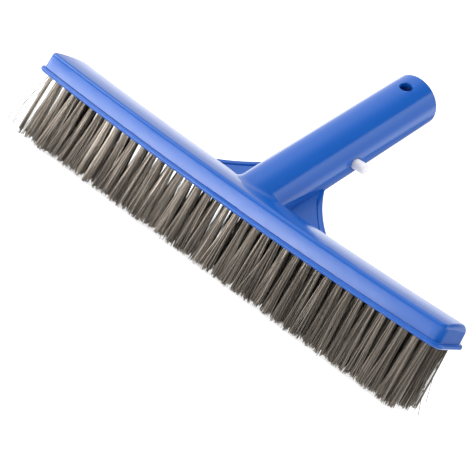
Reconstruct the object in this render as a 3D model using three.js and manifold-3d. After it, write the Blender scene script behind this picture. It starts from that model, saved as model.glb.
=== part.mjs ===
// Pool wall brush: a bowed plastic block with five rows of steel wire tufts and a slanted plug-in handle.
// Millimetres. The origin is the middle of the plane the bristle tips stand on. +X runs along the block,
// +Z points from the tips to the block, and the handle leans towards +Y.
import * as THREE from "three";
import { mergeVertices } from "three/addons/utils/BufferGeometryUtils.js";
import Module from "manifold-3d";

// Block and flange
const BLOCK_LENGTH = 254;
const BLOCK_DEPTH = 32.2;
const BOW = 2.6;
const CORNER_RADIUS = 5.5;
const CORNER_STEPS = 4;
const LENGTH_STEPS = 12;
const DEPTH_STEPS = 6;
const FLANGE_THICKNESS = 2.5;
const FLANGE_EDGE = 1.1;
const FLANGE_EDGE_STEPS = 4;
const FLANGE_STEP = 1.8;
const FACE_DRAFT = 0.35;
const SHOULDER_HEIGHT = 9.1;
const TOP_FILLET = 1.5;
const TOP_FILLET_STEPS = 3;
const CROWN = 0.9;

// Bristles
const BRISTLE_REACH = 31.6;
const TUFT_PITCH = 6.16;
const ROW_PITCH = 5.15;
const ROW_COUNT = 5;
const LONG_ROW_TUFTS = 40;
const TUFT_ROOT_HALF = 1.35;
const TUFT_TIP_HALF_WIDTH = 3.25;
const TUFT_TIP_HALF_DEPTH = 2.3;
const SOCKET_DEPTH = 7;
const CLEARANCE = 0.3;
const LENGTH_FAN = 0.018;
const DEPTH_FAN = 0.1;

// Handle, in its own frame: X across, Y up the tube, Z towards the block's front
const HANDLE_LEAN = THREE.MathUtils.degToRad(54);
const HANDLE_BASE_Y = 26.4;
const HANDLE_BASE_HEIGHT = 12;
const HANDLE_RADIUS = 14.15;
const HANDLE_TOP = 112.7;
const HANDLE_BURIED = 40;
const HANDLE_SEGMENTS = 40;
const RIM_RADIUS = 1.4;
const RIM_STEPS = 3;
const BORE_RADIUS = 11.6;
const BORE_FLOOR = 8;
const HANDLE_FOOT_LIFT = 0.5;
const RIB_THICKNESS = 2.4;
const RIB_HEIGHT = 7.4;
const RIB_FOOT = 84;
const RIB_SET_IN = 0.7;
const HANG_HOLE_RADIUS = 3.5;
const HANG_HOLE_STATION = 100.4;

// Side webs of the handle
const WEB_THICKNESS = 1.6;
const WEB_SET_BACK = 4.6;
const WEB_TOP = new THREE.Vector2(12.9, 25.1);
const WEB_WAIST = new THREE.Vector2(27.7, -0.1);
const WEB_FOOT = new THREE.Vector2(55.6, -13.1);
const WEB_BURIED = -22;
const WEB_STEPS = 8;
const WEB_RIM_WIDTH = 2.9;
const WEB_RIM_DEPTH = 2.4;
const WEB_RIM_SET_BACK = 4.4;
const WEB_BAR_FRONT = 13;
const WEB_BAR_BACK = 18.8;
const WEB_BAR_TOP = 2.5;

// Locking button and its leaf spring
const BUTTON_STATION = 46.6;
const BUTTON_RADIUS = 2.85;
const BUTTON_REACH = 6.2;
const BUTTON_CHAMFER = 0.7;
const BUTTON_SEGMENTS = 24;
const BUTTON_HOLE_RADIUS = 3.2;
const RECESS_RADIUS = 4.2;
const RECESS_DEPTH = 0.9;
const RECESS_SHIFT = 1.7;
const PAD_RADIUS = 4.4;
const PAD_THICKNESS = 1.6;
const PAD_INNER = 8.3;
const SPRING_THICKNESS = 1.4;
const SPRING_WIDTH = 9;
const SPRING_FAR_SIDE = 10.2;
const SPRING_BEND_STATION = 22;
const SPRING_PAST_BUTTON = 6;

// Cutters run this far past the faces they cut
const OVERCUT = 5;

const wasm = await Module();
wasm.setup();

function solid(geometry) {
  geometry.deleteAttribute("normal");
  geometry.deleteAttribute("uv");
  const welded = mergeVertices(geometry, 1e-4);
  return new wasm.Manifold(
    new wasm.Mesh({
      numProp: 3,
      vertProperties: welded.attributes.position.array,
      triVerts: new Uint32Array(welded.index.array),
    }),
  );
}

function namedMesh(body, name, material) {
  const made = body.getMesh();
  const geometry = new THREE.BufferGeometry();
  geometry.setAttribute("position", new THREE.BufferAttribute(made.vertProperties, 3));
  geometry.setIndex(new THREE.BufferAttribute(made.triVerts, 1));
  const flat = geometry.toNonIndexed();
  flat.computeVertexNormals();
  const mesh = new THREE.Mesh(flat, material);
  mesh.name = name;
  return mesh;
}

// A closed solid through rings of points, lowest ring first, each ring counter-clockwise seen from above.
// The two end faces are given as grids of points that share the end rings' own points.
function skin(rings, grids) {
  const corners = [];
  const quad = (a, b, c, d) => corners.push(a, b, c, a, c, d);
  for (let level = 1; level < rings.length; level++) {
    const lower = rings[level - 1];
    const upper = rings[level];
    for (let i = 0; i < lower.length; i++) {
      const next = (i + 1) % lower.length;
      quad(lower[i], lower[next], upper[next], upper[i]);
    }
  }
  grids.forEach(({ points, up }) => {
    for (let i = 1; i < points.length; i++) {
      for (let j = 1; j < points[i].length; j++) {
        const square = [points[i - 1][j - 1], points[i][j - 1], points[i][j], points[i - 1][j]];
        quad(...(up ? square : square.reverse()));
      }
    }
  });
  return new THREE.BufferGeometry().setFromPoints(corners);
}

// A closed solid through rings, with plain flat ends.
function loft(rings) {
  const last = rings.length - 1;
  const corners = [];
  for (let i = 2; i < rings[0].length; i++) {
    corners.push(rings[0][0], rings[0][i], rings[0][i - 1]);
    corners.push(rings[last][0], rings[last][i - 1], rings[last][i]);
  }
  const sides = skin(rings, []);
  const ends = new THREE.BufferGeometry().setFromPoints(corners);
  const joined = new Float32Array([...sides.attributes.position.array, ...ends.attributes.position.array]);
  return new THREE.BufferGeometry().setAttribute("position", new THREE.BufferAttribute(joined, 3));
}

function bowAt(x) {
  return BOW * (x / (BLOCK_LENGTH / 2)) ** 2;
}

// Block: a stack of rounded outlines, bowed along its length and crowned across its top.
function blockLevels() {
  const levels = [];
  for (let i = 0; i <= FLANGE_EDGE_STEPS; i++) {
    const turn = Math.PI * (i / FLANGE_EDGE_STEPS - 0.5);
    const inset = FLANGE_EDGE * (1 - Math.cos(turn));
    const height = (FLANGE_THICKNESS * (1 + Math.sin(turn))) / 2;
    levels.push({ inset, height, crown: 0 });
  }
  levels.push({ inset: FLANGE_STEP, height: FLANGE_THICKNESS, crown: 0 });
  for (let i = 0; i <= TOP_FILLET_STEPS; i++) {
    const turn = ((Math.PI / 2) * i) / TOP_FILLET_STEPS;
    const inset = FLANGE_STEP + FACE_DRAFT + TOP_FILLET * (1 - Math.cos(turn));
    const height = SHOULDER_HEIGHT + TOP_FILLET * Math.sin(turn);
    levels.push({ inset, height, crown: CROWN * Math.sin(turn) });
  }
  return levels;
}

// Stations along an outline: its x and the half depth there.
function outlineStations(inset) {
  const halfLength = BLOCK_LENGTH / 2 - inset;
  const halfDepth = BLOCK_DEPTH / 2 - inset;
  const radius = CORNER_RADIUS - inset;
  const stations = [];
  for (let i = 0; i <= CORNER_STEPS; i++) {
    const turn = ((Math.PI / 2) * i) / CORNER_STEPS;
    const x = halfLength - radius + radius * Math.cos(turn);
    stations.push({ x: -x, half: halfDepth - radius + radius * Math.sin(turn) });
  }
  const straight = halfLength - radius;
  for (let i = 1; i < LENGTH_STEPS; i++) {
    stations.push({ x: straight * ((2 * i) / LENGTH_STEPS - 1), half: halfDepth });
  }
  const mirrored = stations.slice(0, CORNER_STEPS + 1).reverse();
  mirrored.forEach(({ x, half }) => stations.push({ x: -x, half }));
  return stations;
}

function levelGrid(level) {
  const halfDepth = BLOCK_DEPTH / 2;
  return outlineStations(level.inset).map(({ x, half }) => {
    const column = [];
    for (let j = 0; j <= DEPTH_STEPS; j++) {
      const y = half * ((2 * j) / DEPTH_STEPS - 1);
      const crown = level.crown * (1 - (y / halfDepth) ** 2);
      column.push(new THREE.Vector3(x, y, BRISTLE_REACH + level.height + bowAt(x) + crown));
    }
    return column;
  });
}

function gridRing(grid) {
  const last = grid.length - 1;
  const front = grid.map((column) => column[0]);
  const right = grid[last].slice(1, DEPTH_STEPS);
  const back = grid.map((column) => column[DEPTH_STEPS]).reverse();
  const left = grid[0].slice(1, DEPTH_STEPS).reverse();
  return [...front, ...right, ...back, ...left];
}

function makeBlock() {
  const grids = blockLevels().map(levelGrid);
  const ends = [
    { points: grids[0], up: false },
    { points: grids[grids.length - 1], up: true },
  ];
  return solid(skin(grids.map(gridRing), ends));
}

// Bristles: tuft places, their blind sockets in the block, and the tufts.
function tuftPlaces(row) {
  const tufts = LONG_ROW_TUFTS - (row % 2);
  const y = (row - (ROW_COUNT - 1) / 2) * ROW_PITCH;
  const places = [];
  for (let i = 0; i < tufts; i++) {
    places.push(new THREE.Vector2((i - (tufts - 1) / 2) * TUFT_PITCH, y));
  }
  return places;
}

function tuftRing(x, y, z, halfWidth, halfDepth) {
  return [
    new THREE.Vector3(x - halfWidth, y - halfDepth, z),
    new THREE.Vector3(x + halfWidth, y - halfDepth, z),
    new THREE.Vector3(x + halfWidth, y + halfDepth, z),
    new THREE.Vector3(x - halfWidth, y + halfDepth, z),
  ];
}

function makeSocket({ x, y }) {
  const half = TUFT_ROOT_HALF + CLEARANCE;
  const mouth = BRISTLE_REACH - OVERCUT;
  const floor = BRISTLE_REACH + bowAt(x) + SOCKET_DEPTH;
  return solid(loft([tuftRing(x, y, mouth, half, half), tuftRing(x, y, floor, half, half)]));
}

function makeTuft({ x, y }) {
  const mouth = BRISTLE_REACH + bowAt(x);
  const tipX = x * (1 + LENGTH_FAN);
  const tipY = y * (1 + DEPTH_FAN);
  const half = TUFT_ROOT_HALF;
  return solid(
    loft([
      tuftRing(tipX, tipY, 0, TUFT_TIP_HALF_WIDTH, TUFT_TIP_HALF_DEPTH),
      tuftRing(x, y, mouth, half, half),
      tuftRing(x, y, mouth + SOCKET_DEPTH - CLEARANCE, half, half),
    ]),
  );
}

function makeRow(row) {
  const [first, ...others] = tuftPlaces(row).map(makeTuft);
  return others.reduce((joined, tuft) => joined.add(tuft), first);
}

// Handle: everything below is built in the handle's own frame and then set in place.
const handleFrame = new THREE.Matrix4()
  .makeRotationX(Math.PI / 2 - HANDLE_LEAN)
  .setPosition(0, HANDLE_BASE_Y, BRISTLE_REACH + HANDLE_BASE_HEIGHT);

function inPlace(geometry) {
  return solid(geometry.applyMatrix4(handleFrame));
}

function cylinder(radius, from, to, segments) {
  const geometry = new THREE.CylinderGeometry(radius, radius, to - from, segments);
  return geometry.translate(0, (from + to) / 2, 0);
}

function makeTube() {
  const profile = [new THREE.Vector2(0, -HANDLE_BURIED), new THREE.Vector2(HANDLE_RADIUS, -HANDLE_BURIED)];
  for (let i = 0; i <= RIM_STEPS; i++) {
    const turn = ((Math.PI / 2) * i) / RIM_STEPS;
    const radius = HANDLE_RADIUS - RIM_RADIUS * (1 - Math.cos(turn));
    profile.push(new THREE.Vector2(radius, HANDLE_TOP - RIM_RADIUS * (1 - Math.sin(turn))));
  }
  profile.push(new THREE.Vector2(0, HANDLE_TOP));
  return inPlace(new THREE.LatheGeometry(profile, HANDLE_SEGMENTS));
}

function webEdge() {
  return new THREE.QuadraticBezierCurve(WEB_TOP, WEB_WAIST, WEB_FOOT).getPoints(WEB_STEPS);
}

function makeWeb() {
  const right = webEdge();
  const left = right.map(({ x, y }) => new THREE.Vector2(-x, y)).reverse();
  const foot = [new THREE.Vector2(WEB_FOOT.x, WEB_BURIED), new THREE.Vector2(-WEB_FOOT.x, WEB_BURIED)];
  const geometry = new THREE.ExtrudeGeometry(new THREE.Shape([...left, ...right, ...foot]), {
    depth: WEB_THICKNESS,
    bevelEnabled: false,
  });
  return inPlace(geometry.translate(0, 0, -WEB_SET_BACK - WEB_THICKNESS / 2));
}

// The thick edge along a web's hollow side. side is +1 on the right and -1 on the left.
function makeWebRim(side) {
  const outer = webEdge();
  const inner = outer.map((point, i) => {
    const before = outer[Math.max(i - 1, 0)];
    const after = outer[Math.min(i + 1, outer.length - 1)];
    const along = after.clone().sub(before).normalize();
    return new THREE.Vector2(point.x + along.y * WEB_RIM_WIDTH, point.y - along.x * WEB_RIM_WIDTH);
  });
  const outline = [...outer, ...inner.reverse()].map(({ x, y }) => new THREE.Vector2(side * x, y));
  const geometry = new THREE.ExtrudeGeometry(new THREE.Shape(outline), {
    depth: WEB_RIM_DEPTH,
    bevelEnabled: false,
  });
  return inPlace(geometry.translate(0, 0, -WEB_RIM_SET_BACK - WEB_RIM_DEPTH / 2));
}

// The bar that joins the feet of both webs to the back of the flange.
function makeWebBar() {
  const depth = WEB_BAR_BACK - WEB_BAR_FRONT;
  const geometry = new THREE.BoxGeometry(2 * WEB_FOOT.x, depth, WEB_BAR_TOP);
  return solid(geometry.translate(0, WEB_BAR_FRONT + depth / 2, BRISTLE_REACH + WEB_BAR_TOP / 2));
}

// What is cut away below the handle's foot.
function makeFootCutter() {
  const size = 2 * BLOCK_LENGTH;
  const geometry = new THREE.BoxGeometry(size, size, size);
  return solid(geometry.translate(0, 0, BRISTLE_REACH + HANDLE_FOOT_LIFT - size / 2));
}

function makeBore() {
  return inPlace(cylinder(BORE_RADIUS, BORE_FLOOR, HANDLE_TOP + OVERCUT, HANDLE_SEGMENTS));
}

// A wall across the bore, just under the hang hole.
function makeRib() {
  const top = HANDLE_TOP - RIB_SET_IN;
  const half = Math.sqrt(((BORE_RADIUS + HANDLE_RADIUS) / 2) ** 2 - (RIB_HEIGHT + RIB_THICKNESS / 2) ** 2);
  const geometry = new THREE.BoxGeometry(2 * half, top - RIB_FOOT, RIB_THICKNESS);
  return inPlace(geometry.translate(0, (top + RIB_FOOT) / 2, RIB_HEIGHT));
}

function makeHangHole() {
  const floor = RIB_HEIGHT + RIB_THICKNESS;
  const geometry = cylinder(HANG_HOLE_RADIUS, floor, HANDLE_RADIUS + OVERCUT, BUTTON_SEGMENTS);
  return inPlace(geometry.rotateX(Math.PI / 2).translate(0, HANG_HOLE_STATION, 0));
}

function sideways(geometry) {
  return geometry.rotateZ(-Math.PI / 2).translate(0, BUTTON_STATION, 0);
}

function makeButtonHole() {
  const outside = HANDLE_RADIUS + OVERCUT;
  const hole = inPlace(sideways(cylinder(BUTTON_HOLE_RADIUS, 0, outside, BUTTON_SEGMENTS)));
  const floor = HANDLE_RADIUS - RECESS_DEPTH;
  const dip = sideways(cylinder(RECESS_RADIUS, floor, outside, BUTTON_SEGMENTS));
  const recess = inPlace(dip.translate(0, -RECESS_SHIFT, 0));
  return hole.add(recess);
}

function makeMoulding() {
  const handle = makeTube()
    .add(makeWeb())
    .add(makeWebRim(1))
    .add(makeWebRim(-1))
    .add(makeWebBar())
    .subtract(makeFootCutter());
  let body = makeBlock().add(handle).subtract(makeBore()).add(makeRib());
  [makeHangHole(), makeButtonHole()].forEach((cutter) => {
    body = body.subtract(cutter);
  });
  for (let row = 0; row < ROW_COUNT; row++) {
    tuftPlaces(row).forEach((place) => {
      body = body.subtract(makeSocket(place));
    });
  }
  return body;
}

function makeButton() {
  const tip = HANDLE_RADIUS + BUTTON_REACH;
  const shoulder = PAD_INNER + PAD_THICKNESS;
  const profile = [
    new THREE.Vector2(0, PAD_INNER),
    new THREE.Vector2(PAD_RADIUS, PAD_INNER),
    new THREE.Vector2(PAD_RADIUS, shoulder),
    new THREE.Vector2(BUTTON_RADIUS, shoulder),
    new THREE.Vector2(BUTTON_RADIUS, tip - BUTTON_CHAMFER),
    new THREE.Vector2(BUTTON_RADIUS - BUTTON_CHAMFER, tip),
    new THREE.Vector2(0, tip),
  ];
  return inPlace(sideways(new THREE.LatheGeometry(profile, BUTTON_SEGMENTS)));
}

// A leaf bent into a U: one leg on the bore's far side, the other behind the button's pad.
function makeSpring() {
  const near = PAD_INNER - CLEARANCE;
  const radius = (near + SPRING_FAR_SIDE) / 2;
  const middle = near - radius;
  const top = BUTTON_STATION + SPRING_PAST_BUTTON;
  const shape = new THREE.Shape();
  shape.moveTo(near, top);
  shape.lineTo(near - SPRING_THICKNESS, top);
  shape.lineTo(near - SPRING_THICKNESS, SPRING_BEND_STATION);
  shape.absarc(middle, SPRING_BEND_STATION, radius - SPRING_THICKNESS, 0, Math.PI, true);
  shape.lineTo(-SPRING_FAR_SIDE + SPRING_THICKNESS, top);
  shape.lineTo(-SPRING_FAR_SIDE, top);
  shape.lineTo(-SPRING_FAR_SIDE, SPRING_BEND_STATION);
  shape.absarc(middle, SPRING_BEND_STATION, radius, Math.PI, 0, false);
  const geometry = new THREE.ExtrudeGeometry(shape, { depth: SPRING_WIDTH, bevelEnabled: false });
  return inPlace(geometry.translate(0, 0, -SPRING_WIDTH / 2));
}

const bluePlastic = new THREE.MeshStandardMaterial({ color: 0x1d5fc4, roughness: 0.28, metalness: 0 });
const whitePlastic = new THREE.MeshStandardMaterial({ color: 0xece9ec, roughness: 0.42, metalness: 0 });
const springSteel = new THREE.MeshStandardMaterial({ color: 0xb4b2ae, roughness: 0.35, metalness: 1 });
const bristleWire = new THREE.MeshStandardMaterial({ color: 0x8f867a, roughness: 0.45, metalness: 0.9 });

const brush = new THREE.Group();
brush.name = "pool_wall_brush";
brush.add(namedMesh(makeMoulding(), "moulded_body", bluePlastic));
brush.add(namedMesh(makeButton(), "lock_button", whitePlastic));
brush.add(namedMesh(makeSpring(), "leaf_spring", springSteel));
for (let row = 0; row < ROW_COUNT; row++) {
  brush.add(namedMesh(makeRow(row), `bristle_row_${row + 1}`, bristleWire.clone()));
}

export default brush;
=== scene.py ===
from math import cos, pi, radians, sin, sqrt

import bmesh
import bpy
import numpy as np
from mathutils import Matrix, Quaternion, Vector


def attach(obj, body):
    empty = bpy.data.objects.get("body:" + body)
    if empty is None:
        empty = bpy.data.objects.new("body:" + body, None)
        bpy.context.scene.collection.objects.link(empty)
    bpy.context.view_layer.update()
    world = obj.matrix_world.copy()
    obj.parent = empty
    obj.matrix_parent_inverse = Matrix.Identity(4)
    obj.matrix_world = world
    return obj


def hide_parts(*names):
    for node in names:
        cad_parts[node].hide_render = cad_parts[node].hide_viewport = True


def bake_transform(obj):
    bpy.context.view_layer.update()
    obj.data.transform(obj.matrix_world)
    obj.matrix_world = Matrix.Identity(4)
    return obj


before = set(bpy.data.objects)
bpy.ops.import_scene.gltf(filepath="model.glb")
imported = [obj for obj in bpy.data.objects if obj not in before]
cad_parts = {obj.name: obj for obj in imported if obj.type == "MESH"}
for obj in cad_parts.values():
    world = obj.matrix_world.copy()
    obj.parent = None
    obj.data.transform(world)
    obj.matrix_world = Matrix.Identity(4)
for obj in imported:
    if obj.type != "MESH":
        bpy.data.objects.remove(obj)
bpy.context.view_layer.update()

scene = bpy.context.scene
mm = 0.001  # pieces are built in millimetres and scaled when they are finished

# Where the handle starts and how it leans. Its own frame is x across, s up the tube, h towards the front.
handle = {
    "baseY": 26.4, "baseZ": 43.6, "lean": radians(54), "radius": 14.15, "top": 112.7, "foot": -40.0,
    "rim": 1.4, "bore": 11.6, "boreFloor": 8.0, "boreLip": 0.6, "floorRound": 1.5, "trimZ": 32.1,
    "around": 256, "rootStep": 0.7, "rootEnd": 26.0, "upperRings": 10,
    "rootFillet": 1.7, "plateFillet": 0.9, "reach": 5.0, "sink": 0.03,
    "rayStep": 0.04, "rayUnder": 0.6,
    "rib": 2.4, "ribHeight": 7.4, "ribFoot": 84.0, "ribSetIn": 0.7, "ribEdge": 0.3,
}
block = {
    "length": 254.0, "depth": 32.2, "bow": 2.6, "corner": 5.5, "tips": 31.6,
    "flange": 2.5, "flangeEdge": 1.1, "step": 1.8, "draft": 0.35, "rise": 10.6,
    "frontFillet": 1.5, "backFillet": 3.4, "crown": 0.9,
    "lengthSteps": 96, "cornerSteps": 10, "depthSteps": 16,
}
alongHandle = Vector((0, sin(handle["lean"]), cos(handle["lean"])))
frontOfHandle = Vector((0, -cos(handle["lean"]), sin(handle["lean"])))


def onHandle(x, s, h):
    y = handle["baseY"] + s * alongHandle.y + h * frontOfHandle.y
    z = handle["baseZ"] + s * alongHandle.z + h * frontOfHandle.z
    return np.stack(np.broadcast_arrays(np.asarray(x, float), y, z), axis=-1)


def bowAt(x):
    return block["bow"] * (x / (block["length"] / 2)) ** 2


def crownAt(y):
    return block["crown"] * (1 - (y / (block["depth"] / 2)) ** 2)


# Mesh helpers
def addGrid(bm, grid, wrap=False):
    rows = [[bm.verts.new(point) for point in line] for line in grid]
    for lower, upper in zip(rows, rows[1:]):
        for i in range(len(lower) if wrap else len(lower) - 1):
            j = (i + 1) % len(lower)
            bm.faces.new((lower[i], lower[j], upper[j], upper[i]))
    return rows


def closeMesh(bm, name):
    bmesh.ops.remove_doubles(bm, verts=bm.verts, dist=1e-4)
    bmesh.ops.recalc_face_normals(bm, faces=bm.faces)
    mesh = bpy.data.meshes.new(name)
    bm.to_mesh(mesh)
    bm.free()
    solid = bpy.data.objects.new(name, mesh)
    scene.collection.objects.link(solid)
    return solid


def tubeSolid(name, rings):
    bm = bmesh.new()
    rows = addGrid(bm, rings, wrap=True)
    bm.faces.new(rows[0][::-1])
    bm.faces.new(rows[-1])
    return closeMesh(bm, name)


def turned(name, profile, place, steps=96):
    # profile is pairs of (distance along the axis, radius), and both ends get a flat cap
    turns = np.linspace(0, 2 * pi, steps, endpoint=False)
    rings = [place(along, radius * np.cos(turns), radius * np.sin(turns)) for along, radius in profile]
    return tubeSolid(name, rings)


def quarter(steps, start=0.0, end=pi / 2):
    return np.linspace(start, end, steps + 1)


def sweep(name, path, halfWidth, halfDepth, rounding, centreH=0.0, steps=5):
    # a bar with rounded edges along a path of (x, s) points in the handle's middle plane
    path = np.asarray(path, float)
    ahead = np.gradient(path, axis=0)
    ahead /= np.linalg.norm(ahead, axis=1)[:, None]
    side = np.stack([ahead[:, 1], -ahead[:, 0]], axis=1)
    section = []
    for signA, signH, start in ((1, 1, 0), (-1, 1, pi / 2), (-1, -1, pi), (1, -1, 3 * pi / 2)):
        for turn in quarter(steps, start, start + pi / 2):
            section.append((
                signA * (halfWidth - rounding) + rounding * cos(turn),
                signH * (halfDepth - rounding) + rounding * sin(turn),
            ))
    section = np.array(section)
    rings = []
    for centre, across in zip(path, side):
        flat = centre + section[:, :1] * across
        rings.append(onHandle(flat[:, 0], flat[:, 1], section[:, 1] + centreH))
    return tubeSolid(name, rings)


def combine(target, others, operation):
    for other in others:
        modifier = target.modifiers.new(operation, "BOOLEAN")
        modifier.operation = operation
        modifier.solver = "MANIFOLD"
        modifier.object = other
        graph = bpy.context.evaluated_depsgraph_get()
        result = bpy.data.meshes.new_from_object(target.evaluated_get(graph))
        target.modifiers.clear()
        old = target.data
        target.data = result
        bpy.data.meshes.remove(old)
        bpy.data.objects.remove(other)
    return target


def finishPiece(piece, material, crease=32.0):
    mesh = piece.data
    mesh.transform(Matrix.Scale(mm, 4))
    bm = bmesh.new()
    bm.from_mesh(mesh)
    bmesh.ops.remove_doubles(bm, verts=bm.verts, dist=2e-6)
    bmesh.ops.dissolve_degenerate(bm, edges=bm.edges, dist=1e-6)
    for face in bm.faces:
        face.smooth = True
    for edge in bm.edges:
        edge.smooth = edge.calc_face_angle(0.0) < radians(crease)
    bm.to_mesh(mesh)
    bm.free()
    mesh.materials.clear()
    mesh.materials.append(material)
    print(piece.name, len(mesh.polygons), "faces")
    return piece


# Material helpers
def newMaterial(name, colour, roughness, metallic=0.0):
    material = bpy.data.materials.new(name)
    material.use_nodes = True
    shader = material.node_tree.nodes["Principled BSDF"]
    shader.inputs["Base Color"].default_value = (*colour, 1)
    shader.inputs["Roughness"].default_value = roughness
    shader.inputs["Metallic"].default_value = metallic
    return material, material.node_tree, shader


def place(tree, kind, inputs=None, **settings):
    node = tree.nodes.new(kind)
    for name, value in settings.items():
        setattr(node, name, value)
    for key, value in (inputs or {}).items():
        socket = node.inputs[key]
        if isinstance(value, bpy.types.NodeSocket):
            tree.links.new(value, socket)
        else:
            socket.default_value = value
    return node


def tintBy(tree, shader, share, first, second):
    tint = place(tree, "ShaderNodeMix", {0: share, 6: first, 7: second}, data_type="RGBA")
    tree.links.new(tint.outputs[2], shader.inputs["Base Color"])


def glossBy(tree, shader, share, roughness, low=0.0, high=1.0):
    gloss = place(tree, "ShaderNodeMapRange", {
        "Value": share, "From Min": low, "From Max": high, "To Min": roughness[0], "To Max": roughness[1],
    })
    tree.links.new(gloss.outputs["Result"], shader.inputs["Roughness"])


def bumpBy(tree, shader, height, strength, distance):
    bump = place(tree, "ShaderNodeBump", {"Height": height, "Strength": strength, "Distance": distance})
    tree.links.new(bump.outputs["Normal"], shader.inputs["Normal"])


def bluePlastic():
    look = {
        "deep": (0.0026, 0.088, 0.415, 1), "light": (0.0039, 0.100, 0.458, 1), "roughness": (0.12, 0.20),
        "flow": 14.0, "scuff": 60.0, "scuffLow": 0.35, "scuffHigh": 0.7,
        "peel": 420.0, "peelHeight": 0.012, "peelDepth": 0.0004,
    }
    material, tree, shader = newMaterial("blue plastic", (0.004, 0.082, 0.45), 0.2)
    spot = place(tree, "ShaderNodeTexCoord").outputs["Object"]
    flow = place(tree, "ShaderNodeTexNoise", {
        "Vector": spot, "Scale": look["flow"], "Detail": 3.0, "Distortion": 0.6,
    })
    tintBy(tree, shader, flow.outputs["Fac"], look["deep"], look["light"])
    scuff = place(tree, "ShaderNodeTexNoise", {
        "Vector": spot, "Scale": look["scuff"], "Detail": 6.0, "Roughness": 0.65,
    })
    glossBy(tree, shader, scuff.outputs["Fac"], look["roughness"], look["scuffLow"], look["scuffHigh"])
    peel = place(tree, "ShaderNodeTexNoise", {"Vector": spot, "Scale": look["peel"], "Detail": 2.0})
    bumpBy(tree, shader, peel.outputs["Fac"], look["peelHeight"], look["peelDepth"])
    return material


def whitePlastic():
    look = {
        "shade": (0.83, 0.82, 0.84, 1), "white": (0.91, 0.90, 0.92, 1), "roughness": (0.28, 0.42),
        "cloud": 320.0, "grain": 0.05, "grainDepth": 0.0003, "glow": 0.15, "glowDepth": 0.002,
    }
    material, tree, shader = newMaterial("white plastic", (0.86, 0.85, 0.87), 0.35)
    spot = place(tree, "ShaderNodeTexCoord").outputs["Object"]
    cloud = place(tree, "ShaderNodeTexNoise", {"Vector": spot, "Scale": look["cloud"], "Detail": 4.0})
    tintBy(tree, shader, cloud.outputs["Fac"], look["shade"], look["white"])
    glossBy(tree, shader, cloud.outputs["Fac"], look["roughness"])
    bumpBy(tree, shader, cloud.outputs["Fac"], look["grain"], look["grainDepth"])
    shader.inputs["Subsurface Weight"].default_value = look["glow"]
    shader.inputs["Subsurface Scale"].default_value = look["glowDepth"]
    return material


def brushedSteel():
    look = {
        "stretch": (1.0, 0.08, 1.0), "turn": (0.63, 0, 0), "streak": 2600.0, "roughness": (0.2, 0.42),
        "grain": 0.08, "grainDepth": 0.0002,
    }
    material, tree, shader = newMaterial("spring steel", (0.55, 0.54, 0.52), 0.3, 1.0)
    spot = place(tree, "ShaderNodeTexCoord").outputs["Object"]
    grain = place(tree, "ShaderNodeMapping", {
        "Vector": spot, "Scale": look["stretch"], "Rotation": look["turn"],
    }).outputs["Vector"]
    streak = place(tree, "ShaderNodeTexNoise", {"Vector": grain, "Scale": look["streak"], "Detail": 4.0})
    glossBy(tree, shader, streak.outputs["Fac"], look["roughness"])
    bumpBy(tree, shader, streak.outputs["Fac"], look["grain"], look["grainDepth"])
    return material


def bristleSteel():
    # every wire carries its own tone, with small stains over it
    look = {
        "dark": (0.012, 0.009, 0.007, 1), "pale": (0.62, 0.548, 0.470, 1), "roughness": (0.22, 0.42),
        "stain": 900.0, "toneShare": 0.72, "stainShare": 0.28,
    }
    material, tree, shader = newMaterial("bristle steel", (0.45, 0.41, 0.37), 0.35, 1.0)
    tone = place(tree, "ShaderNodeAttribute", attribute_name="wireTone")
    spot = place(tree, "ShaderNodeTexCoord").outputs["Object"]
    stain = place(tree, "ShaderNodeTexNoise", {"Vector": spot, "Scale": look["stain"], "Detail": 3.0})
    toned = place(tree, "ShaderNodeMath", {
        0: tone.outputs["Fac"], 1: look["toneShare"],
    }, operation="MULTIPLY").outputs[0]
    both = place(tree, "ShaderNodeMath", {
        0: stain.outputs["Fac"], 1: look["stainShare"], 2: toned,
    }, operation="MULTIPLY_ADD").outputs[0]
    tintBy(tree, shader, both, look["dark"], look["pale"])
    glossBy(tree, shader, stain.outputs["Fac"], look["roughness"])
    return material


# Camera
cameraSettings = {
    "place": (0.32766, -0.61896, 0.16150), "aim": (0.00909, -0.00202, 0.02060),
    "roll": 29.87, "lens": 116.26, "sensor": 36,
}
cameraData = bpy.data.cameras.new("camera")
cameraData.sensor_width = cameraSettings["sensor"]
cameraData.lens = cameraSettings["lens"]
camera = bpy.data.objects.new("camera", cameraData)
scene.collection.objects.link(camera)
camera.rotation_mode = "QUATERNION"
camera.location = cameraSettings["place"]
towards = Vector(cameraSettings["aim"]) - camera.location
camera.rotation_quaternion = (
    towards.to_track_quat("-Z", "Y") @ Quaternion((0, 0, 1), radians(cameraSettings["roll"]))
)
scene.camera = camera
print("camera is in place")


# Block: rounded outlines stacked from the flange's lower edge to the crowned top, all bowed lengthwise
def blockLevels():
    levels = []
    for turn in quarter(8, -pi / 2, pi / 2):
        inset = block["flangeEdge"] * (1 - cos(turn))
        height = block["flange"] * (1 + sin(turn)) / 2
        levels.append((inset, inset, height, height, 0.0))
    levels.append((block["step"], block["step"], block["flange"], block["flange"], 0.0))
    wall = block["step"] + block["draft"]
    for turn in quarter(7):
        front, back = block["frontFillet"], block["backFillet"]
        levels.append((
            wall + front * (1 - cos(turn)), wall + back * (1 - cos(turn)),
            block["rise"] - front * (1 - sin(turn)), block["rise"] - back * (1 - sin(turn)), sin(turn),
        ))
    return levels


def sideLine(inset):
    radius = block["corner"] - inset
    straight = block["length"] / 2 - inset - radius
    half = block["depth"] / 2 - inset - radius
    corner = [
        (-straight - radius * cos(turn), half + radius * sin(turn))
        for turn in quarter(block["cornerSteps"])
    ]
    middle = [(x, half + radius) for x in np.linspace(-straight, straight, block["lengthSteps"] + 1)[1:-1]]
    return np.array(corner + middle + [(-x, y) for x, y in corner[::-1]])


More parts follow.
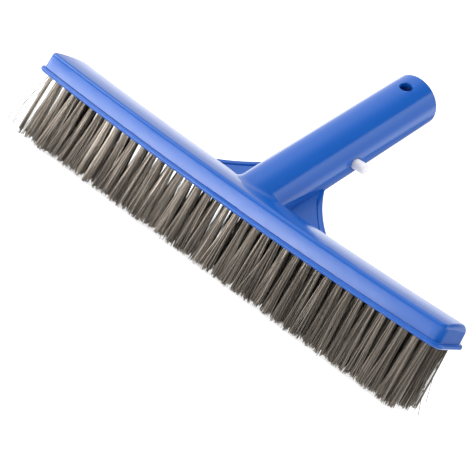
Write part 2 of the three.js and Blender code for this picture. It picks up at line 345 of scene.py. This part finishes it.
def levelGrid(frontInset, backInset, frontHeight, backHeight, crown):
    front, back = sideLine(frontInset), sideLine(backInset)
    share = np.linspace(0, 1, block["depthSteps"] + 1)
    x = front[:, :1] * (1 - share) + back[:, :1] * share
    y = -front[:, 1:] * (1 - share) + back[:, 1:] * share
    height = frontHeight * (1 - share) + backHeight * share
    z = block["tips"] + height + bowAt(x) + crown * crownAt(y)
    return np.stack([x, y, z], axis=-1)


def blockSolid():
    grids = [levelGrid(*level) for level in blockLevels()]
    rings = [np.concatenate([g[:, 0], g[-1, 1:-1], g[::-1, -1], g[0, -2:0:-1]]) for g in grids]
    bm = bmesh.new()
    addGrid(bm, rings, wrap=True)
    addGrid(bm, grids[0])
    addGrid(bm, grids[-1])
    return closeMesh(bm, "block")


# Handle root: rays out of the tube's middle stop where tube, block and side plates flow together
def roundJoin(a, b, radius):
    over = np.hypot(np.maximum(radius - a, 0), np.maximum(radius - b, 0))
    return np.maximum(radius, np.minimum(a, b)) - over


def blockDistance(point):
    x, y, z = point[..., 0], point[..., 1], point[..., 2]
    level = z - block["tips"] - bowAt(x) - np.where(abs(y) < block["depth"] / 2, crownAt(y), 0)

    def bar(halfWidth, height, rounding):
        across = abs(y) - halfWidth + rounding
        up = abs(level - height / 2) - height / 2 + rounding
        outside = np.hypot(np.maximum(across, 0), np.maximum(up, 0))
        return outside + np.minimum(np.maximum(across, up), 0) - rounding

    wall = block["depth"] / 2 - block["step"] - block["draft"]
    upper = bar(wall, block["rise"], np.where(y > 0, block["backFillet"], block["frontFillet"]))
    return np.minimum(upper, bar(block["depth"] / 2, block["flange"], block["flangeEdge"]))


web = {
    "top": (12.9, 25.1), "waist": (27.7, -0.1), "foot": (55.6, -13.1), "buried": -22.0,
    "setBack": 4.6, "thickness": 1.6, "plateInner": 12.9, "plateInset": 0.6,
    "rimWidth": 2.9, "rimDepth": 2.4, "rimSetBack": 4.4, "rimEdge": 0.75, "rimPastTop": 3, "rimPastFoot": 2,
    "barFront": 13.0, "barBack": 18.8, "barTop": 2.0,
}


def webLine(steps=48):
    share = np.linspace(0, 1, steps + 1)[:, None]
    top, waist, foot = (np.array(web[name]) for name in ("top", "waist", "foot"))
    return top * (1 - share) ** 2 + waist * 2 * share * (1 - share) + foot * share**2


def plateDistance(x, s, h):
    line = webLine()[::-1]
    edge = np.interp(s, line[:, 1], line[:, 0])
    return np.maximum(abs(h + web["setBack"]) - web["thickness"] / 2, abs(x) - edge)


def rootRadius(turns, stations):
    radius, sink, rayStep = handle["radius"], handle["sink"], handle["rayStep"]
    out = np.arange(radius + handle["reach"], radius - handle["rayUnder"], -rayStep)
    turn, station, ray = np.meshgrid(turns, stations, out, indexing="ij")
    x, h = ray * np.cos(turn), ray * np.sin(turn)
    near = roundJoin(ray - radius, blockDistance(onHandle(x, station, h)) + sink, handle["rootFillet"])
    near = roundJoin(near, plateDistance(x, station, h) + sink, handle["plateFillet"])
    inside = near < 0
    first = np.where(inside.any(axis=2), inside.argmax(axis=2), len(out) - 1)
    i, j = np.indices(first.shape)
    before = near[i, j, np.maximum(first - 1, 0)]
    after = near[i, j, first]
    step = np.where(first > 0, before / np.maximum(before - after, 1e-9), 1.0)
    return np.clip(out[first] + rayStep * (1 - np.clip(step, 0, 1)), radius, radius + handle["reach"])


def tubeWithRoot():
    turns = np.linspace(0, 2 * pi, handle["around"], endpoint=False)
    stations = np.arange(handle["foot"], handle["rootEnd"], handle["rootStep"])
    rootRings = rootRadius(turns, stations).T
    rings = [onHandle(r * np.cos(turns), s, r * np.sin(turns)) for s, r in zip(stations, rootRings)]
    top, rim, radius = handle["top"], handle["rim"], handle["radius"]
    profile = [(s, radius) for s in np.linspace(stations[-1] + 2, top - rim, handle["upperRings"])]
    for turn in quarter(8)[1:]:
        profile.append((top - rim * (1 - sin(turn)), radius - rim * (1 - cos(turn))))
    rings += [onHandle(r * np.cos(turns), s, r * np.sin(turns)) for s, r in profile]
    return tubeSolid("tube", rings)


def plateSolid(side):
    line = webLine()
    line[:, 0] -= web["plateInset"]
    outline = [*line, (web["foot"][0], web["buried"]), (web["plateInner"], web["buried"])]
    outline = np.array([point for point in outline if point[0] >= web["plateInner"] - 1e-6])
    rings = [
        onHandle(side * outline[:, 0], outline[:, 1], -web["setBack"] + end * web["thickness"] / 2)
        for end in (-1, 1)
    ]
    return tubeSolid("plate", rings)


def rimSolid(side):
    line = webLine()
    first, last = line[0] - line[1], line[-1] - line[-2]
    start = line[0] + web["rimPastTop"] * first / np.linalg.norm(first)
    end = line[-1] + web["rimPastFoot"] * last / np.linalg.norm(last)
    line = np.vstack([start, line, end])
    ahead = np.gradient(line, axis=0)
    ahead /= np.linalg.norm(ahead, axis=1)[:, None]
    line = line + np.stack([ahead[:, 1], -ahead[:, 0]], axis=1) * web["rimWidth"] / 2
    line[:, 0] *= side
    return sweep("rim", line, web["rimWidth"] / 2, web["rimDepth"] / 2, web["rimEdge"], -web["rimSetBack"])


def webBar():
    # joins the feet of both plates to the back of the flange
    size = (2 * web["foot"][0], web["barBack"] - web["barFront"], web["barTop"])
    middle = (0, (web["barFront"] + web["barBack"]) / 2, handle["trimZ"] + web["barTop"] / 2)
    return boxSolid("web bar", Matrix.Translation(middle) @ Matrix.Diagonal((*size, 1)))


def boxSolid(name, matrix):
    bm = bmesh.new()
    bmesh.ops.create_cube(bm, size=1, matrix=matrix)
    return closeMesh(bm, name)


def footCutter():
    return boxSolid("foot cutter", Matrix.Translation((0, 0, handle["trimZ"] - 150)) @ Matrix.Scale(300, 4))


def boreRib():
    # a wall across the bore just under the hang hole, with softened edges at its mouth end
    half, foot, top = handle["rib"] / 2, handle["ribFoot"], handle["top"] - handle["ribSetIn"]
    edge, height = handle["ribEdge"], handle["ribHeight"]
    wide = sqrt(((handle["radius"] + handle["bore"]) / 2) ** 2 - (height + half) ** 2)
    profile = [(-half, foot), (half, foot)]
    profile += [(half - edge * (1 - cos(turn)), top - edge * (1 - sin(turn))) for turn in quarter(4)]
    profile += [(-half + edge * (1 - cos(turn)), top - edge * (1 - sin(turn))) for turn in quarter(4)[::-1]]
    h, s = np.array(profile).T
    return tubeSolid("rib", [onHandle(x, s, h + height) for x in (-wide, wide)])


def boreCutter():
    low, top, lip, bend = handle["boreFloor"], handle["top"], handle["boreLip"], handle["floorRound"]
    bore = handle["bore"]
    profile = [(low + bend * (1 - cos(turn)), bore - bend * (1 - sin(turn))) for turn in quarter(6)]
    profile += [(top - lip + lip * sin(turn), bore + lip * (1 - cos(turn))) for turn in quarter(6)]
    profile.append((top + 6, bore + lip))
    return turned("bore", profile, lambda s, x, h: onHandle(x, s, h), 128)


hole = {"hangStation": 100.4, "hangRadius": 3.5, "hangEdge": 0.5}
button = {
    "station": 46.6, "radius": 2.85, "reach": 6.2, "rounding": 0.8, "dome": 0.35,
    "hole": 3.2, "lip": 0.25, "recess": 4.2, "recessDepth": 0.9, "recessShift": 1.7,
    "pad": 4.4, "padThickness": 1.6, "padInner": 8.3, "padRounding": 0.35,
}


def hangCutter():
    surface, edge, radius = handle["radius"] - 0.15, hole["hangEdge"], hole["hangRadius"]
    profile = [(handle["ribHeight"] + handle["rib"], radius)]
    profile += [(surface - edge + edge * sin(turn), radius + edge * (1 - cos(turn))) for turn in quarter(6)]
    profile.append((surface + 6, radius + edge))
    return turned("hang hole", profile, lambda h, x, s: onHandle(x, s + hole["hangStation"], h), 64)


def aroundButton(x, s, h):
    return onHandle(x, s + button["station"], h)


def buttonCutters():
    # a straight hole, and a shallow dish beside it on the block's side
    outside, radius, dish, lip = handle["radius"], button["hole"], button["recess"], button["lip"]
    floor = outside - button["recessDepth"]
    profile = [(2.0, radius), (outside - 3 * lip, radius)]
    profile += [(outside - lip * (2 - sin(turn)), radius + lip * (1 - cos(turn))) for turn in quarter(4)]
    profile.append((outside + 2, radius + lip))
    bend = button["recessDepth"]
    bowl = [(floor, 0.01)]
    bowl += [(floor + bend * (1 - cos(turn)), dish - bend * (1 - sin(turn))) for turn in quarter(8)]
    bowl.append((outside + 4, dish + 0.2))

    def aroundDish(x, s, h):
        return onHandle(x, s + button["station"] - button["recessShift"], h)

    return [turned("button hole", profile, aroundButton, 96), turned("button dish", bowl, aroundDish, 96)]


rows = {"count": 5, "pitch": 5.15, "tuftPitch": 6.16, "tufts": 40, "rootRadius": 1.5, "socket": 7.0}


def socketCutter():
    turns = np.linspace(0, 2 * pi, 16, endpoint=False)
    radius = rows["rootRadius"] + 0.15
    bm = bmesh.new()
    for row in range(rows["count"]):
        tufts = rows["tufts"] - row % 2
        y = (row - (rows["count"] - 1) / 2) * rows["pitch"]
        for tuft in range(tufts):
            x = (tuft - (tufts - 1) / 2) * rows["tuftPitch"]
            heights = (block["tips"] - 2, block["tips"] + bowAt(x) + rows["socket"])
            rings = [[(x + radius * cos(a), y + radius * sin(a), z) for a in turns] for z in heights]
            lower, upper = addGrid(bm, rings, wrap=True)
            bm.faces.new(lower[::-1])
            bm.faces.new(upper)
    return closeMesh(bm, "sockets")


def mouldingPiece(material):
    body = tubeWithRoot()
    print("handle root", len(body.data.polygons), "faces")
    combine(body, [plateSolid(1), plateSolid(-1), rimSolid(1), rimSolid(-1)], "UNION")
    combine(body, [footCutter()], "DIFFERENCE")
    combine(body, [blockSolid(), webBar()], "UNION")
    combine(body, [boreCutter()], "DIFFERENCE")
    combine(body, [boreRib()], "UNION")
    combine(body, [hangCutter(), *buttonCutters(), socketCutter()], "DIFFERENCE")
    body.name = "brush_moulding"
    return finishPiece(body, material)


def buttonPiece(material):
    tip, edge, bend = handle["radius"] + button["reach"], button["rounding"], button["padRounding"]
    inner, outer = button["padInner"], button["padInner"] + button["padThickness"]
    pad, radius, dome = button["pad"], button["radius"], button["dome"]
    profile = [(inner, 0.01)]
    profile += [(inner + bend * (1 - cos(turn)), pad - bend * (1 - sin(turn))) for turn in quarter(4)]
    profile += [(outer - bend * (1 - sin(turn)), pad - bend * (1 - cos(turn))) for turn in quarter(4)]
    profile += [(outer, radius + 0.2), (outer + 0.2, radius)]
    rim = tip - dome
    profile += [(rim - edge * (1 - sin(turn)), radius - edge * (1 - cos(turn))) for turn in quarter(8)]
    flat = radius - edge
    profile += [(rim + dome * (1 - share**2), flat * share) for share in (0.8, 0.6, 0.4, 0.2, 0.01)]
    return finishPiece(turned("lock_button_cap", profile, aroundButton, 64), material, 40)


spring = {"near": 8.0, "far": 10.2, "thickness": 1.4, "width": 9.0, "bend": 22.0, "past": 6.0, "edge": 0.25}


def springPiece(material):
    half = spring["thickness"] / 2
    top = button["station"] + spring["past"]
    radius = (spring["near"] + spring["far"]) / 2 - half
    middle = spring["near"] - half - radius
    leg = np.linspace(top, spring["bend"], 24)
    path = [(middle + radius, s) for s in leg[:-1]]
    for turn in quarter(40, 0, pi):
        path.append((middle + radius * cos(turn), spring["bend"] - radius * sin(turn)))
    path += [(middle - radius, s) for s in leg[::-1][1:]]
    return finishPiece(sweep("button_spring", path, half, spring["width"] / 2, spring["edge"]), material)


# Bristles: one tree grows every wire of a row
wires = {
    "Tufts": rows["tufts"], "Clumps per tuft": 17, "Wires per clump": 6, "Joints": 6,
    "Tuft pitch": rows["tuftPitch"], "Row y": 0.0, "Root radius": rows["rootRadius"],
    "Tip spread x": 2.9, "Tip spread y": 2.2, "Length fan": 0.018, "Depth fan": 0.1,
    "Height": block["tips"], "Bow": block["bow"], "Half length": block["length"] / 2, "Sunk": 3.0,
    "Lean": 0.8, "Clump stray": 0.7, "Clump size": 0.24, "Stray": 0.25, "Flyaway": 1.6, "Wave": 0.35,
    "Ragged": 1.5, "Clump ragged": 2.9, "Tuft ragged": 0.8, "End splay": -2.6,
    "Wire radius": 0.145, "Sparse end": 0.72, "Seed": 7,
}


def wireTree(material):
    tree = bpy.data.node_groups.new("wire tufts", "GeometryNodeTree")
    for name, value in wires.items():
        kind = "NodeSocketInt" if isinstance(value, int) else "NodeSocketFloat"
        tree.interface.new_socket(name, in_out="INPUT", socket_type=kind).default_value = value
    tree.interface.new_socket("Wires", in_out="OUTPUT", socket_type="NodeSocketGeometry")
    given = place(tree, "NodeGroupInput").outputs

    def calc(operation, *values):
        return place(tree, "ShaderNodeMath", dict(enumerate(values)), operation=operation).outputs[0]

    def chance(low, high, item, step):  # a step of its own keeps each draw apart from the others
        seed = calc("ADD", given["Seed"], step)
        ends = {2: low, 3: high, "ID": item, "Seed": seed}
        return place(tree, "FunctionNodeRandomValue", ends, data_type="FLOAT").outputs[1]

    index = place(tree, "GeometryNodeInputIndex").outputs[0]
    wire = calc("FLOOR", calc("DIVIDE", calc("ADD", index, 0.5), given["Joints"]))
    joint = calc("SUBTRACT", index, calc("MULTIPLY", wire, given["Joints"]))
    run = calc("DIVIDE", joint, calc("SUBTRACT", given["Joints"], 1))
    clump = calc("FLOOR", calc("DIVIDE", calc("ADD", wire, 0.5), given["Wires per clump"]))
    tuft = calc("FLOOR", calc("DIVIDE", calc("ADD", clump, 0.5), given["Clumps per tuft"]))
    middle = calc("DIVIDE", calc("SUBTRACT", given["Tufts"], 1), 2)
    tuftX = calc("MULTIPLY", calc("SUBTRACT", tuft, middle), given["Tuft pitch"])
    outward = calc("DIVIDE", tuftX, given["Half length"])
    mouth = calc("MULTIPLY_ADD", calc("MULTIPLY", outward, outward), given["Bow"], given["Height"])

    angle = chance(0.0, 2 * pi, clump, 1)
    spread = calc("SQRT", chance(0.0, 1.0, clump, 2))
    discX = calc("MULTIPLY", spread, calc("COSINE", angle))
    discY = calc("MULTIPLY", spread, calc("SINE", angle))

    def across(disc, tuftAt, fanned, tipSpread, step):
        own = calc("MULTIPLY_ADD", chance(-1.0, 1.0, wire, step + 3), given["Clump size"], disc)
        root = calc("MULTIPLY_ADD", own, given["Root radius"], tuftAt)
        lean = calc("MULTIPLY", chance(-1.0, 1.0, tuft, step), given["Lean"])
        clumpStray = calc("MULTIPLY_ADD", chance(-1.0, 1.0, clump, step + 4), given["Clump stray"], lean)
        stray = calc("MULTIPLY_ADD", chance(-1.0, 1.0, wire, step + 1), given["Stray"], clumpStray)
        flyaway = calc("MULTIPLY", calc("POWER", chance(-1.0, 1.0, wire, step + 5), 7.0), given["Flyaway"])
        tip = calc("ADD", calc("MULTIPLY_ADD", own, tipSpread, fanned), calc("ADD", flyaway, stray))
        wave = calc("MULTIPLY", chance(-1.0, 1.0, clump, step + 2), given["Wave"])
        flare = calc("POWER", run, 1.15)
        line = calc("MULTIPLY_ADD", calc("SUBTRACT", tip, root), flare, root)
        return calc("MULTIPLY_ADD", calc("SINE", calc("MULTIPLY", run, pi)), wave, line)

    nearEnd = calc("POWER", calc("ABSOLUTE", outward), 8.0)
    splay = calc("MULTIPLY", calc("MULTIPLY", nearEnd, calc("SIGN", outward)), given["End splay"])
    fannedX = calc("ADD", calc("MULTIPLY", tuftX, calc("ADD", given["Length fan"], 1)), splay)
    fannedY = calc("MULTIPLY", given["Row y"], calc("ADD", given["Depth fan"], 1))
    x = across(discX, tuftX, fannedX, given["Tip spread x"], 10)
    y = across(discY, given["Row y"], fannedY, given["Tip spread y"], 20)
    short = calc("MULTIPLY", calc("POWER", chance(0.0, 1.0, wire, 30), 1.6), given["Ragged"])
    clumpShort = calc("POWER", chance(0.0, 1.0, clump, 32), 1.6)
    short = calc("MULTIPLY_ADD", clumpShort, given["Clump ragged"], short)
    tip = calc("ADD", calc("MULTIPLY_ADD", chance(0.0, 1.0, tuft, 31), given["Tuft ragged"], short), 0.15)
    root = calc("ADD", mouth, given["Sunk"])
    z = calc("MULTIPLY_ADD", calc("SUBTRACT", tip, root), run, root)
    at = place(tree, "ShaderNodeCombineXYZ", {0: x, 1: y, 2: z}).outputs[0]

    clumps = calc("MULTIPLY", given["Tufts"], given["Clumps per tuft"])
    count = calc("MULTIPLY", clumps, given["Wires per clump"])
    points = place(tree, "GeometryNodePoints", {"Count": count}).outputs[0]

    def shape(kind, inputs):
        return place(tree, kind, inputs).outputs[0]

    line = shape("GeometryNodeCurvePrimitiveLine", {"End": (0, 0, 1)})
    line = shape("GeometryNodeResampleCurve", {"Curve": line, "Count": given["Joints"]})
    copies = shape("GeometryNodeInstanceOnPoints", {"Points": points, "Instance": line})
    curves = shape("GeometryNodeRealizeInstances", {"Geometry": copies})
    curves = shape("GeometryNodeSetPosition", {"Geometry": curves, "Position": at})
    thinned = calc("LESS_THAN", chance(0.0, 1.0, clump, 50), given["Sparse end"])
    sparse = calc("MULTIPLY", calc("LESS_THAN", tuft, 0.5), thinned)  # the first tuft of a row is a thin one
    curves = shape("GeometryNodeDeleteGeometry", {"Geometry": curves, "Selection": sparse})
    mixed = calc("MULTIPLY_ADD", chance(0.0, 1.0, clump, 41), 0.4, chance(0.0, 0.6, wire, 40))
    tone = calc("POWER", mixed, 2.0)
    curves = shape("GeometryNodeStoreNamedAttribute", {"Geometry": curves, "Name": "wireTone", "Value": tone})
    section = shape("GeometryNodeCurvePrimitiveCircle", {"Resolution": 4, "Radius": given["Wire radius"]})
    mesh = shape("GeometryNodeCurveToMesh", {"Curve": curves, "Profile Curve": section, "Fill Caps": True})
    mesh = shape("GeometryNodeRealizeInstances", {"Geometry": mesh})
    mesh = shape("GeometryNodeSetMaterial", {"Geometry": mesh, "Material": material})
    place(tree, "NodeGroupOutput", {0: mesh})
    return tree


def wireRow(row, tree):
    sizes = {
        "Tufts": rows["tufts"] - row % 2, "Row y": (row - (rows["count"] - 1) / 2) * rows["pitch"],
        "Seed": wires["Seed"] + 100 * row,
    }
    seed = bpy.data.objects.new("row seed", bpy.data.meshes.new("row seed"))
    scene.collection.objects.link(seed)
    modifier = seed.modifiers.new("wire tufts", "NODES")
    modifier.node_group = tree
    for socket in tree.interface.items_tree:
        if socket.in_out == "INPUT":
            modifier[socket.identifier] = sizes.get(socket.name, wires[socket.name])
    graph = bpy.context.evaluated_depsgraph_get()
    mesh = bpy.data.meshes.new_from_object(seed.evaluated_get(graph))
    bpy.data.objects.remove(seed)
    mesh.transform(Matrix.Scale(mm, 4))
    piece = bpy.data.objects.new(f"wires_row_{row + 1}", mesh)
    scene.collection.objects.link(piece)
    print(piece.name, len(mesh.polygons), "faces")
    return piece


strays = {  # where each stray wire starts, where its tip ends, and how far its middle sways, in millimetres
    "radius": 0.17, "steps": 14, "sides": 6, "tone": 0.45,
    "wires": (
        ((-119.6, -9.6, 38), (-133.5, -13.0, 17.5), (-1.5, -0.6)),
        ((-120.4, -10.9, 38), (-130.6, -12.2, 11.0), (-1.8, 0.4)),
        ((-119.2, -10.2, 38), (-129.0, -14.6, 4.5), (-1.2, -0.9)),
        ((-118.9, -11.1, 38), (-127.6, -11.4, 3.2), (-2.0, 0.2)),
        ((-120.2, -5.4, 38), (-131.8, -7.1, 7.5), (-1.6, 0.5)),
        ((-119.9, -4.6, 38), (-128.2, -9.9, 2.1), (-0.9, -0.4)),
        ((120.6, 10.6, 38), (127.3, 7.2, 0.9), (-3.6, 1.0)),
        ((119.7, 10.9, 38), (125.2, 13.9, 5.6), (-1.4, 0.8)),
        ((120.8, 4.9, 38), (124.6, 5.5, 2.6), (-1.1, -0.6)),
        ((-58.4, -11.0, 36), (-61.8, -14.9, 1.2), (0.6, -1.2)),
        ((-21.2, -11.2, 36), (-17.4, -15.6, 0.8), (-0.7, -1.0)),
        ((34.1, -10.9, 36), (30.2, -15.2, 1.5), (0.8, -0.9)),
        ((77.3, -11.1, 36), (80.6, -14.8, 0.7), (-0.8, -1.1)),
    ),
}


def strayWires(material):
    bm = bmesh.new()
    run = np.linspace(0, 1, strays["steps"])[:, None]
    turns = quarter(strays["sides"], 0, 2 * pi)[:-1]
    section = strays["radius"] * np.array([(cos(turn), sin(turn), 0) for turn in turns])
    for start, tip, sway in strays["wires"]:
        start, tip, sway = np.array(start, float), np.array(tip, float), np.array((*sway, 0))
        line = start + (tip - start) * run + np.sin(pi * run) * sway
        ends = addGrid(bm, [point + section for point in line], wrap=True)
        bm.faces.new(ends[0][::-1])
        bm.faces.new(ends[-1])
    piece = closeMesh(bm, "stray_wires")
    tone = piece.data.attributes.new("wireTone", "FLOAT", "POINT")
    tone.data.foreach_set("value", [strays["tone"]] * len(piece.data.vertices))
    return finishPiece(piece, material, 180)


# The pieces
blue, white, springMetal, wireMetal = bluePlastic(), whitePlastic(), brushedSteel(), bristleSteel()

moulding = mouldingPiece(blue)
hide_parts("moulded_body")
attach(moulding, "brush")

cap = buttonPiece(white)
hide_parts("lock_button")
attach(cap, "button")

leaf = springPiece(springMetal)  # a U-bent leaf swept in the handle's frame, where it sits
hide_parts("leaf_spring")
onHandle(7.3, 22, 0) * mm
onHandle(17.75, 27.65, 0) * mm
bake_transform(leaf)

tree = wireTree(wireMetal)
for row in range(rows["count"]):
    piece = wireRow(row, tree)
    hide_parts(f"bristle_row_{row + 1}")
    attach(piece, "brush")
loose = strayWires(wireMetal)
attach(loose, "brush")
print("pieces are built")


# Floor and light
studio = {
    "floorSize": 120.0, "floorColour": (0.52, 0.52, 0.53), "floorGlow": 0.82, "base": 0.20,
    "lobes": (  # direction, where it fades in and out, strength
        ((0.81, 0.50, 0.30), 0.795, 0.825, 1.7),
        ((-0.85, 0.20, 0.52), 0.30, 0.95, 0.85),
        ((0.0, 0.0, 1.0), 0.30, 0.12, 0.88),
        ((0.70, 0.68, 0.20), 0.78, 1.0, -0.9),
        ((-0.50, -0.45, 0.74), 0.75, 1.0, 0.7),
    ),
    "flags": (  # size, place, tone, whether it shades as well as darkens the gloss
        ((0.9, 0.7), (0.66, -0.22, 0.002), 0.03, True),
        ((1.1, 1.3), (0.45, 0.76, 0.003), 0.32, False),
    ),
    "lights": (  # name, place, aim, size, radiance, whether the gloss sees it, whether it lights surfaces
        ("key", (-0.78, -0.46, 0.58), (0, 0, 0.04), (0.5, 0.5), 4.2, True, True),
        ("top", (0.35, -0.30, 1.10), (0, 0, 0.05), (0.9, 0.9), 2.3, False, True),
        ("low front", (-0.30, -0.33, 0.001), (-0.30, -0.33, 1.0), (0.60, 0.46), 1.5, True, True),
        ("low front gloss", (-0.35, -0.33, 0.0012), (-0.35, -0.33, 1.0), (0.60, 0.46), 6.5, True, False),
    ),
}


def flatSheet(name, size, material):
    bm = bmesh.new()
    bmesh.ops.create_grid(bm, x_segments=1, y_segments=1, size=0.5, matrix=Matrix.Diagonal((*size, 1, 1)))
    mesh = bpy.data.meshes.new(name)
    bm.to_mesh(mesh)
    bm.free()
    mesh.materials.append(material)
    sheet = bpy.data.objects.new(name, mesh)
    scene.collection.objects.link(sheet)
    return sheet


def studioFloor():
    material, tree, shader = newMaterial("pale floor", studio["floorColour"], 0.7)
    shader.inputs["Emission Color"].default_value = (1, 1, 1, 1)
    shader.inputs["Emission Strength"].default_value = studio["floorGlow"]
    floor = flatSheet("floor", (studio["floorSize"], studio["floorSize"]), material)


def darkFlags():
    # dark sheets lying beside the brush, out of view, that the gloss sees instead of the pale floor
    for size, spot, tone, shades in studio["flags"]:
        material, tree, shader = newMaterial("dark flag", (tone, tone, tone), 0.8)
        sheet = flatSheet("flag", size, material)
        sheet.location = spot
        sheet.visible_camera = False
        sheet.visible_shadow = False
        sheet.visible_diffuse = shades


def softLight(name, spot, aim, size, radiance, glossy, diffuse):
    data = bpy.data.lights.new(name, "AREA")
    data.shape = "RECTANGLE"
    data.size, data.size_y = size
    data.energy = radiance * pi * size[0] * size[1]
    light = bpy.data.objects.new(name, data)
    light.location = spot
    light.rotation_mode = "QUATERNION"
    light.rotation_quaternion = (Vector(aim) - Vector(spot)).to_track_quat("-Z", "Y")
    light.visible_camera = False
    light.visible_glossy = glossy
    light.visible_diffuse = diffuse
    scene.collection.objects.link(light)


def studioWorld():
    world = bpy.data.worlds.new("studio")
    world.use_nodes = True
    scene.world = world
    tree = world.node_tree
    ground = tree.nodes["Background"]
    ground.inputs["Color"].default_value = (1, 1, 1, 1)
    spot = place(tree, "ShaderNodeTexCoord").outputs["Generated"]
    total = studio["base"]
    for direction, low, high, strength in studio["lobes"]:
        facing = place(tree, "ShaderNodeVectorMath", {
            0: spot, 1: Vector(direction).normalized(),
        }, operation="DOT_PRODUCT").outputs["Value"]
        lobe = place(tree, "ShaderNodeMapRange", {
            "Value": facing, "From Min": low, "From Max": high, "To Min": 0.0, "To Max": strength,
        }, interpolation_type="SMOOTHSTEP").outputs["Result"]
        total = place(tree, "ShaderNodeMath", {0: total, 1: lobe}, operation="ADD").outputs[0]
    tree.links.new(total, ground.inputs["Strength"])


studioFloor()
studioWorld()
darkFlags()
for light in studio["lights"]:
    softLight(*light)
scene.view_settings.view_transform = "Standard"
print("floor and lights are set")
